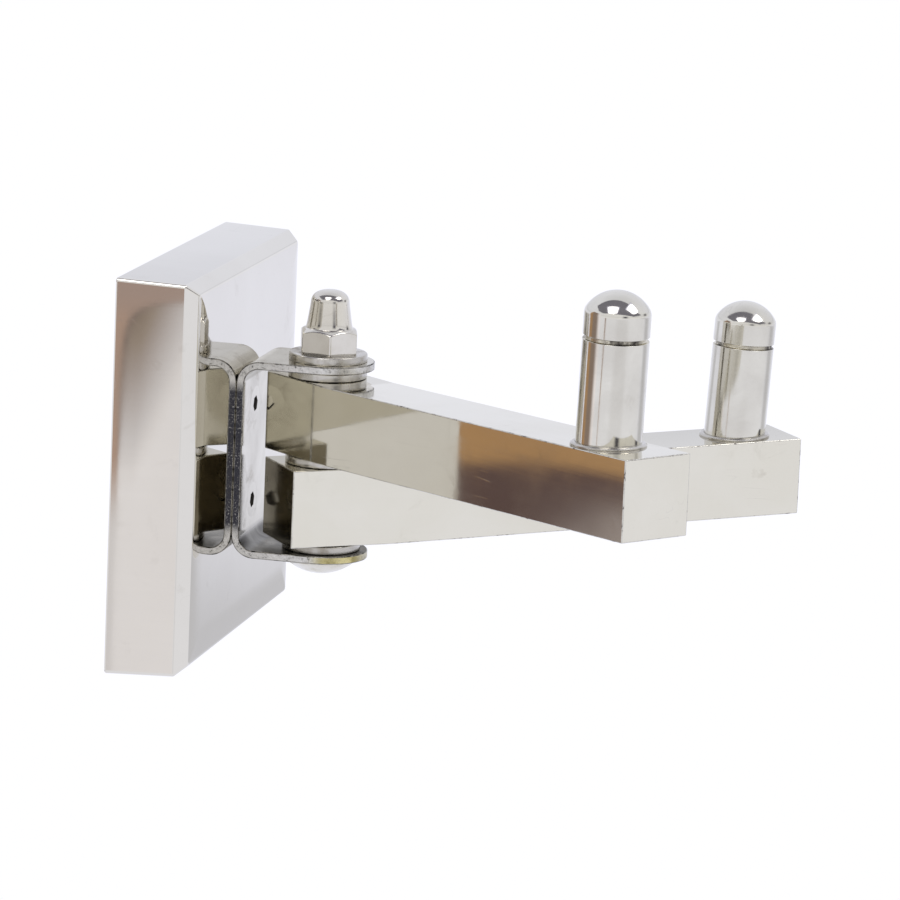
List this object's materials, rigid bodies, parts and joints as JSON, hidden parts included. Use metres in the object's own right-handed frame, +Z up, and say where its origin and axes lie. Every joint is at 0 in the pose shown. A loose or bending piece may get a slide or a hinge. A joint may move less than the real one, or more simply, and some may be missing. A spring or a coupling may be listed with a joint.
{
  "type": "double coat hook",
  "caption": "Square box wall plate with a strap clevis whose stacked square bars swing about one upright bolt, each with a round domed peg for coats.",
  "frame": {"origin": "middle of the cover's back rim, on the wall surface", "axes": "+Z up, front of the hook faces -Y, wall is toward +Y, X across the wall"},
  "size_m": [0.1405, 0.1224, 0.0884],
  "materials": {
    "polished_cover": "mirror polished, fine horizontal polishing lines",
    "polished_strap": "mirror polished, rough cut edges",
    "polished_bar": "mirror polished flat bar, crisp edges",
    "polished_peg": "mirror polished, turned",
    "bright_hardware": "bright polished",
    "washer_steel": "bright, stamped",
    "plain_steel": "plain mill finish",
    "bracket_sheet": "plain mill finish sheet",
    "screw_steel": "dull steel, dark sockets"
  },
  "bodies": {
    "wall_part": {"cover_plate": "polished_cover", "wall_bracket": "bracket_sheet", "backing_plate": "bracket_sheet", "cover_set_screw": "screw_steel", "clevis": "polished_strap", "clevis_screws": "screw_steel", "clevis_lock_washers": "plain_steel", "clevis_nuts": "plain_steel", "pivot_bolt": "bright_hardware", "cap_nut": "bright_hardware", "nut_washer": "washer_steel", "upper_leg_washer": "washer_steel", "centre_washer": "washer_steel", "lower_leg_washer": "washer_steel"},
    "upper_hook": {"upper_arm": "polished_bar", "upper_peg": "polished_peg", "upper_peg_ring": "polished_peg"},
    "lower_hook": {"lower_arm": "polished_bar", "lower_peg": "polished_peg", "lower_peg_ring": "polished_peg"}
  },
  "joints": [
    {"name": "upper_hook_swivel", "type": "hinge", "parent": "wall_part", "child": "upper_hook", "pos_m": [0, -0.0335, 0.0084], "axis": [0, 0, 1], "range_deg": [-55, 62]},
    {"name": "lower_hook_swivel", "type": "hinge", "parent": "wall_part", "child": "lower_hook", "pos_m": [0, -0.0335, -0.0094], "axis": [0, 0, 1], "range_deg": [-62, 58]}
  ]
}
